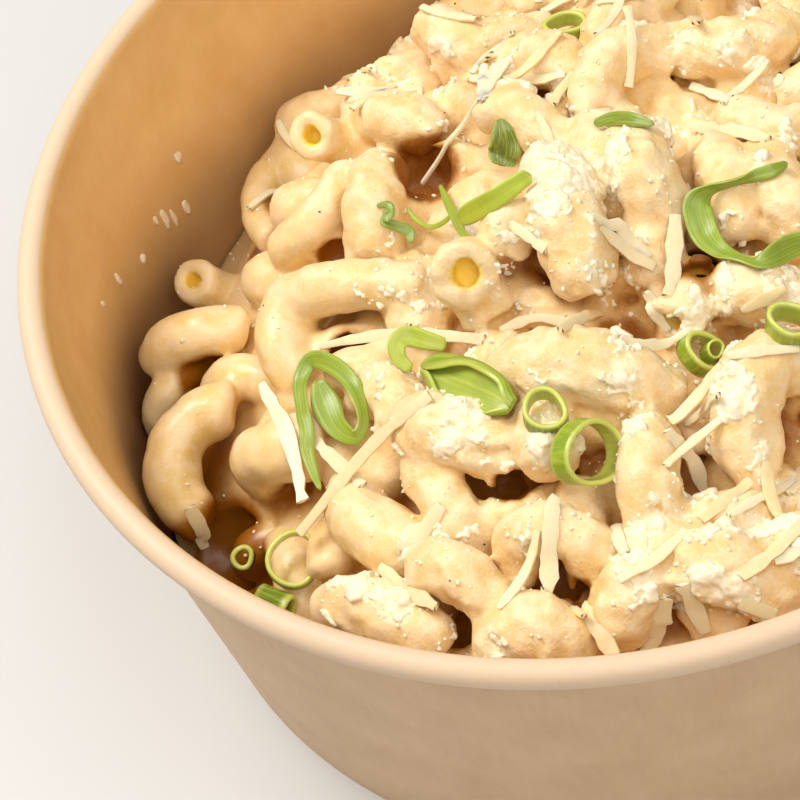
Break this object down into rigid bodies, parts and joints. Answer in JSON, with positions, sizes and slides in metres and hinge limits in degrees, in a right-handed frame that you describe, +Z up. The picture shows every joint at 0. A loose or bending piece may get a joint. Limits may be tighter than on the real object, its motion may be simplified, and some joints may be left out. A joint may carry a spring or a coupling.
{
  "type": "bowl of macaroni and cheese",
  "caption": "Round kraft paper bowl with a rolled rim, filled with a heap of cheese-sauced elbow macaroni topped with spring onion and shredded hard cheese.",
  "frame": {"origin": "centre of the bowl's underside", "axes": "+Z up, out of the bowl's mouth; the picture looks along +Y from above"},
  "size_m": [0.15, 0.15, 0.068],
  "materials": {
    "kraft": "uncoated kraft paper",
    "macaroni": "moist cheese sauce",
    "scallion": "fresh, slightly glossy"
  },
  "bodies": {
    "root": {"bowl_wall": "kraft", "bowl_base": "kraft", "macaroni_heap": "macaroni", "scallion_ring_small": "scallion", "scallion_ring_large": "scallion", "scallion_ring_cored": "scallion", "scallion_ring_right": "scallion", "scallion_ring_pale": "scallion", "scallion_ring_tiny": "scallion", "scallion_ring_thin": "scallion", "scallion_ring_back": "scallion", "scallion_ring_far": "scallion", "scallion_ring_side": "scallion", "scallion_chunk": "scallion", "scallion_ribbon": "scallion", "scallion_twist": "scallion", "scallion_oval": "scallion", "scallion_leaf_dark": "scallion", "scallion_leaf_back": "scallion", "scallion_curl": "scallion", "scallion_leaf_side": "scallion", "scallion_strip_back": "scallion", "scallion_sliver": "scallion", "scallion_strip": "scallion"}
  },
  "joints": []
}
